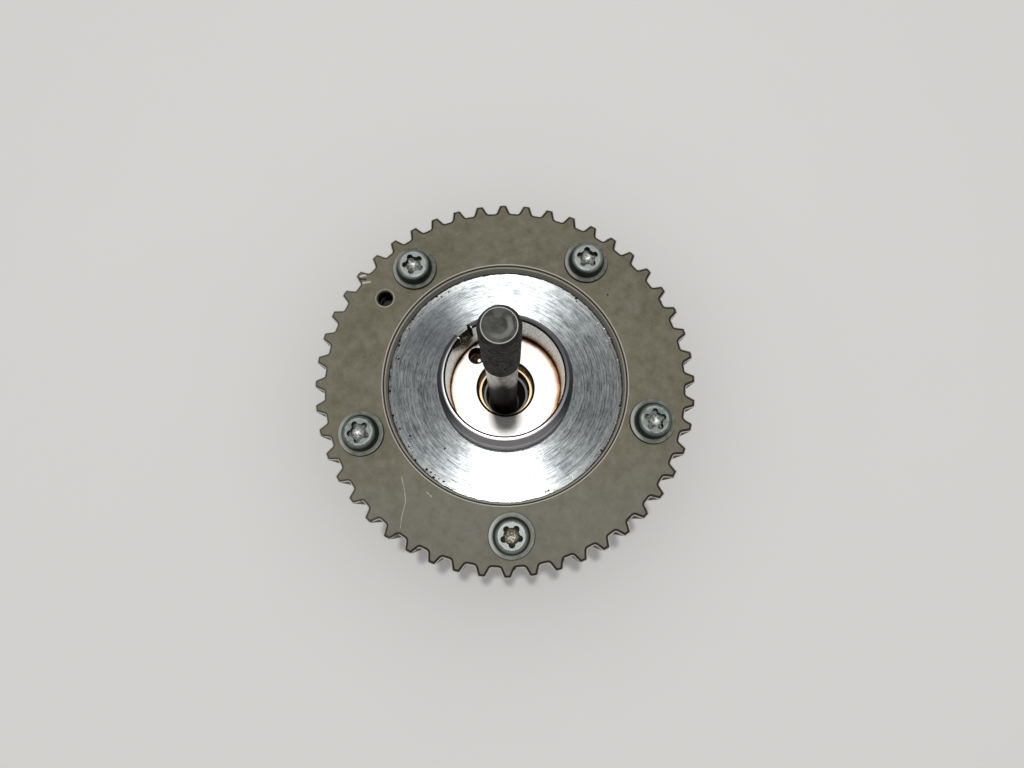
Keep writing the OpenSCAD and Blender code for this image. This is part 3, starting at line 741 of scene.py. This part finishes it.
def bolt_steel():
    """Dark thread, head painted nearly black as shade, and a bright shank painted darker further down as
    shade and reflection.
    """
    s = Shade("bolt_steel")
    cloud = s.noise(0.5, 4)
    grain = s.noise(5.0, 2)
    away = s.distance(*BOLT_AT)
    color = s.shades(cloud, 0.3, 0.7, (0.03, 0.029, 0.027), (0.06, 0.058, 0.054))
    # Head painted nearly black as shade
    color = s.coat(color, (0.002, 0.002, 0.002), s.rise(away, THREAD_R + 0.23, THREAD_R + 0.53))
    crests = s.band(away, THREAD_R - 0.12, THREAD_R + 0.13, 0.05)
    color = s.coat(color, (0.2, 0.19, 0.175), crests, s.rise(s.noise(0.9, 3), 0.45, 0.65), 0.4)
    color = coat_bolt_tip(s, color, away)
    below = s.rise(s.z, THREAD_FROM + 0.3, THREAD_FROM - 0.2)
    streak = s.noise(0.7, 3, 0.6, s.vector("MULTIPLY", s.p, (1, 1, 0.25)))
    bright = s.shades(streak, 0.35, 0.65, (0.33, 0.325, 0.305), (0.62, 0.61, 0.585))
    # Shank painted darker further down as shade and reflection, less so at its sides
    flank = s.math("ABSOLUTE", s.minus(s.x, BOLT_AT[0]))
    height = s.plus(s.z, s.times(s.noise(0.25, 2), 8), s.times(flank, 3))
    dark_lower = s.rise(height, DARK_FADED_Z, DARK_TO_Z)
    bright = s.coat(bright, (0.004, 0.004, 0.004), dark_lower, 0.97)
    head = s.rise(s.z, BOLT_SEAT + 0.3, BOLT_SEAT + 0.1)
    color = s.coat(color, bright, below, s.minus(1.0, head))
    rough = s.minus(s.lerp(cloud, 0.42, 0.55), s.times(below, 0.18))
    rough = s.plus(rough, s.times(below, dark_lower, 0.3))
    s.bump(grain, 0.02, 0.3)
    return s.finish(color, rough, 0.9)


# Inner pieces


def plain_metal(name, low, high, roughness, scale=0.4):
    """Steel with clouds and fine grain between two shades."""
    s = Shade(name)
    cloud = s.noise(scale, 4)
    grain = s.noise(4.0, 2)
    color = s.shades(cloud, 0.3, 0.7, low, high)
    color = s.coat(color, tuple(min(1.0, 1.25 * c) for c in high), s.rise(grain, 0.5, 0.75), 0.2)
    s.bump(grain, 0.015, 0.3)
    return s.finish(color, s.lerp(cloud, roughness - 0.06, roughness + 0.08), 0.95)


def soft_plastic(name, low, high, roughness):
    """Rubber or plastic with a faint mottle."""
    s = Shade(name)
    cloud = s.noise(0.8, 3)
    s.bump(s.noise(3.0, 2), 0.02, 0.3)
    return s.finish(s.blend(cloud, low, high), s.lerp(cloud, roughness - 0.05, roughness + 0.1), 0.0)


# Meshes


def mesh_piece(name, points, faces, material):
    """A new mesh from points in millimetres, smooth except across sharp edges."""
    mesh = bpy.data.meshes.new(name)
    mesh.from_pydata([Vector(p) * MM for p in points], [], faces)
    joined = bmesh.new()
    joined.from_mesh(mesh)
    bmesh.ops.remove_doubles(joined, verts=joined.verts, dist=MERGE * MM)
    bmesh.ops.dissolve_degenerate(joined, dist=MERGE * MM, edges=joined.edges)
    joined.to_mesh(mesh)
    joined.free()
    mesh.validate()
    mesh.shade_smooth()
    mesh.set_sharp_from_angle(angle=SHARP_ANGLE)
    mesh.materials.append(material)
    piece = bpy.data.objects.new(name, mesh)
    bpy.context.scene.collection.objects.link(piece)
    return piece


class Build:
    """Collects points and faces."""

    def __init__(self):
        self.points = []
        self.faces = []

    def loop(self, outline, z):
        first = len(self.points)
        self.points += [(x, y, z) for x, y in outline]
        return list(range(first, len(self.points)))

    def circle(self, r, z, sides, at):
        turns = [2 * math.pi * i / sides for i in range(sides)]
        return self.loop([(at[0] + r * math.cos(a), at[1] + r * math.sin(a)) for a in turns], z)

    def wrap(self, loops):
        """Faces between each closed loop of point numbers and the next."""
        for lower, upper in zip(loops, loops[1:]):
            n = len(lower)
            for i in range(n):
                j = (i + 1) % n
                self.faces.append((lower[i], lower[j], upper[j], upper[i]))
        return loops

    def revolve(self, profile, sides, at=(0, 0)):
        return self.wrap([self.circle(r, z, sides, at) for r, z in profile])

    def flat(self, outer, holes, up):
        """A flat face with holes, from loops of point numbers."""
        order = [*outer, *(i for hole in holes for i in hole)]
        loops = [[Vector(self.points[i]) for i in loop] for loop in (outer, *holes)]
        for tri in tessellate_polygon(loops):
            a, b, c = (order[i] for i in tri)
            at, one, two = (Vector(self.points[i]) for i in (a, b, c))
            turn = (one - at).cross(two - at).z
            self.faces.append((a, b, c) if (turn > 0) == up else (a, c, b))


def arc(centre, r, start, end):
    turns = [start + (end - start) * i / CORNER_STEPS for i in range(CORNER_STEPS + 1)]
    return [(centre[0] + r * math.cos(a), centre[1] + r * math.sin(a)) for a in turns]


def tooth_outline(inset):
    """Outline of the tooth ring, moved inwards by inset along its normals."""
    lean = math.pi / 2 - FLANK
    corner = math.tan(lean / 2)
    tip_round = max(TIP_ROUND - inset, LEAST_ROUND)
    foot_round = FOOT_ROUND + inset
    top = TIP_R - inset
    foot = TIP_R - TOOTH_H - inset
    tip_half = TIP_W / 2 - inset * corner
    foot_half = tip_half + (top - foot) * math.tan(FLANK)
    half = arc((top - tip_round, tip_half - tip_round * corner), tip_round, 0, lean)
    foot_at = (foot + foot_round, foot_half + foot_round * corner)
    half += arc(foot_at, foot_round, math.pi + lean, math.pi)
    tooth = [(x, -y) for x, y in reversed(half)] + half
    outline = []
    for k in range(TEETH):
        a = math.radians(TOOTH_TURN + 360 * k / TEETH)
        outline += [(x * math.cos(a) - y * math.sin(a), x * math.sin(a) + y * math.cos(a)) for x, y in tooth]
    return outline


def bore_profile(r, chamfer):
    """Profile of a chamfered hole through the web."""
    return [(r + chamfer, PLATE_Z), (r, PLATE_Z - chamfer), (r, DISC_Z)]


def sprocket_piece(material):
    """The sprocket with a chamfer along its tooth outline at both faces."""
    b = Build()
    low = PLATE_Z - RIM_W
    skin = b.wrap([
        b.loop(tooth_outline(EDGE_CHAMFER), low),
        b.loop(tooth_outline(0), low + EDGE_CHAMFER_H),
        b.loop(tooth_outline(0), PLATE_Z - EDGE_CHAMFER_H),
        b.loop(tooth_outline(EDGE_CHAMFER), PLATE_Z),
    ])
    bore = b.revolve(bore_profile(WEB_BORE_R, WEB_CHAMFER), BORE_SIDES)
    under = b.revolve([(RIM_BORE_R, DISC_Z), (RIM_BORE_R, low)], BORE_SIDES)
    hole = b.revolve(bore_profile(WEB_HOLE_R, WEB_HOLE_CHAMFER), HOLE_SIDES, polar(SCREW_R, WEB_HOLE_ANGLE))
    b.flat(skin[3], [bore[0], hole[0]], True)
    b.flat(under[0], [bore[2], hole[2]], False)
    b.flat(skin[0], [under[1]], False)
    return mesh_piece("sprocket_chamfered", b.points, b.faces, material)


def add_thread(b):
    """The helical thread, from the shank to the bevel at the tip."""
    top = BOLT_TIP - TIP_BEVEL
    rows = []
    for turn in range(-1, math.ceil((top - THREAD_FROM) / THREAD_PITCH) + 1):
        for phase, r in THREAD_PROFILE:
            row = []
            for j in range(BOLT_SIDES + 1):
                z = THREAD_FROM + THREAD_PITCH * (turn + phase + j / BOLT_SIDES)
                here = min(max(z, THREAD_FROM), top)
                fade = min(max((here - THREAD_FROM) / THREAD_FADE, 0), 1)
                reach = SHANK_R + (r - SHANK_R) * fade
                bevel = TIP_FLAT_R + BOLT_TIP - here
                reach = min(reach, bevel) if z < top else bevel
                a = 2 * math.pi * j / BOLT_SIDES
                row.append(len(b.points))
                b.points.append((BOLT_AT[0] + reach * math.cos(a), BOLT_AT[1] + reach * math.sin(a), here))
            rows.append(row)
    for lower, upper in zip(rows, rows[1:]):
        b.faces += [(lower[j], lower[j + 1], upper[j + 1], upper[j]) for j in range(BOLT_SIDES)]


def bolt_piece(material):
    """The centre bolt with its real thread."""
    b = Build()
    body = b.revolve([
        (HEX_CORNER_R + HEAD_LEDGE, HEX_TOP_Z),
        (HEAD_FLANGE_R - HEAD_BEVEL, HEAD_FLANGE_Z - HEAD_BEVEL),
        (HEAD_FLANGE_R, HEAD_FLANGE_Z),
        (HEAD_FLANGE_R, BOLT_SEAT),
        (SHANK_R + SHANK_BEVEL, BOLT_SEAT),
        (SHANK_R, BOLT_SEAT + SHANK_BEVEL),
        (SHANK_R, SHANK_RING_Z),
        (SHANK_R, THREAD_FROM),
    ], BOLT_SIDES, BOLT_AT)
    hexagon = b.revolve([
        (HEX_END_R, HEX_Z),
        (HEX_CORNER_R, HEX_Z + HEX_BEVEL_H),
        (HEX_CORNER_R, HEX_TOP_Z),
    ], HEX_SIDES, BOLT_AT)
    b.faces.append(tuple(reversed(hexagon[0])))
    b.flat(body[0], [hexagon[2]], False)
    add_thread(b)
    tip = b.revolve([
        (TIP_FLAT_R + TIP_BEVEL, BOLT_TIP - TIP_BEVEL),
        (TIP_FLAT_R, BOLT_TIP),
        *((r, BOLT_TIP - depth) for r, depth in TIP_DISH),
    ], BOLT_SIDES, BOLT_AT)
    b.faces.append(tuple(tip[-1]))
    return mesh_piece("center_bolt_threaded", b.points, b.faces, material)


def spring_piece():
    """The lock pin's spring as its own piece."""
    piece = bpy.data.objects.new("lock_pin_spring_coil", nodes["lock_pin_spring"].data.copy())
    bpy.context.scene.collection.objects.link(piece)
    return piece


# Dress the part

finishes = {
    "sintered_steel": sintered_steel(),
    "turned_steel": turned_steel(),
    "rotor_steel": rotor_steel(),
    "zinc_plate": zinc_plate(),
    "bolt_steel": bolt_steel(),
    "stator_steel": plain_metal("stator_steel", (0.24, 0.23, 0.2), (0.32, 0.31, 0.28), 0.5),
    "front_steel": plain_metal("front_steel", (0.3, 0.29, 0.27), (0.4, 0.39, 0.36), 0.42),
    "hardened_steel": plain_metal("hardened_steel", (0.3, 0.31, 0.33), (0.42, 0.43, 0.45), 0.25, 1.0),
    "spring_steel": plain_metal("spring_steel", (0.22, 0.21, 0.2), (0.34, 0.33, 0.31), 0.35, 1.0),
    "plug_steel": plain_metal("plug_steel", (0.4, 0.38, 0.33), (0.52, 0.5, 0.45), 0.35, 1.0),
    "rubber": soft_plastic("rubber", (0.012, 0.012, 0.012), (0.03, 0.03, 0.03), 0.55),
    "seal_plastic": soft_plastic("seal_plastic", (0.03, 0.03, 0.032), (0.07, 0.07, 0.07), 0.45),
}
slot_of = {part["node"]: part["material_slot"] for part in frame["record"]["subparts"]}
for name, node in nodes.items():
    node.data.materials.clear()
    node.data.materials.append(finishes[slot_of[name]])

sprocket = sprocket_piece(finishes["sintered_steel"])
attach(sprocket, "housing")
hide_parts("sprocket")

bolt = bolt_piece(finishes["bolt_steel"])
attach(bolt, "rotor")
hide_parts("center_bolt")

spring = spring_piece()
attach(spring, "rotor")
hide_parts("lock_pin_spring")
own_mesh(spring)


# Stage, light and camera


def stage_floor():
    b = Build()
    low, high = -FLOOR_HALF, FLOOR_HALF
    b.faces.append(tuple(b.loop([(low, low), (high, low), (high, high), (low, high)], 0)))
    s = Shade("floor")
    color = s.blend(s.noise(0.02, 2), FLOOR_COLOR, tuple(FLOOR_VARIATION * c for c in FLOOR_COLOR))
    floor = mesh_piece("floor", b.points, b.faces, s.finish(color, 0.9, 0.0))


def key_light():
    data = bpy.data.lights.new("key", "AREA")
    data.size = KEY_SIZE
    data.energy = KEY_POWER
    lamp = bpy.data.objects.new("key", data)
    lamp.location = Vector(KEY_AT) * MM
    lamp.rotation_euler = (Vector((0, 0, PLATE_Z)) - Vector(KEY_AT)).to_track_quat("-Z", "Y").to_euler()
    bpy.context.scene.collection.objects.link(lamp)


def room_light():
    world = bpy.data.worlds.new("room")
    world.use_nodes = True
    background = world.node_tree.nodes["Background"]
    background.inputs["Color"].default_value = (1, 1, 1, 1)
    background.inputs["Strength"].default_value = ROOM_LEVEL
    bpy.context.scene.world = world


def photo_camera():
    data = bpy.data.cameras.new("photo")
    data.lens = CAMERA_LENS
    data.sensor_width = CAMERA_SENSOR
    data.clip_start = CAMERA_NEAR
    camera = bpy.data.objects.new("photo", data)
    camera.location = Vector(CAMERA_AT) * MM
    camera.rotation_euler = Euler([math.radians(a) for a in CAMERA_TURN], "XYZ")
    bpy.context.scene.collection.objects.link(camera)
    bpy.context.scene.camera = camera


stage_floor()
key_light()
room_light()
photo_camera()
bpy.context.scene.view_settings.view_transform = "Standard"
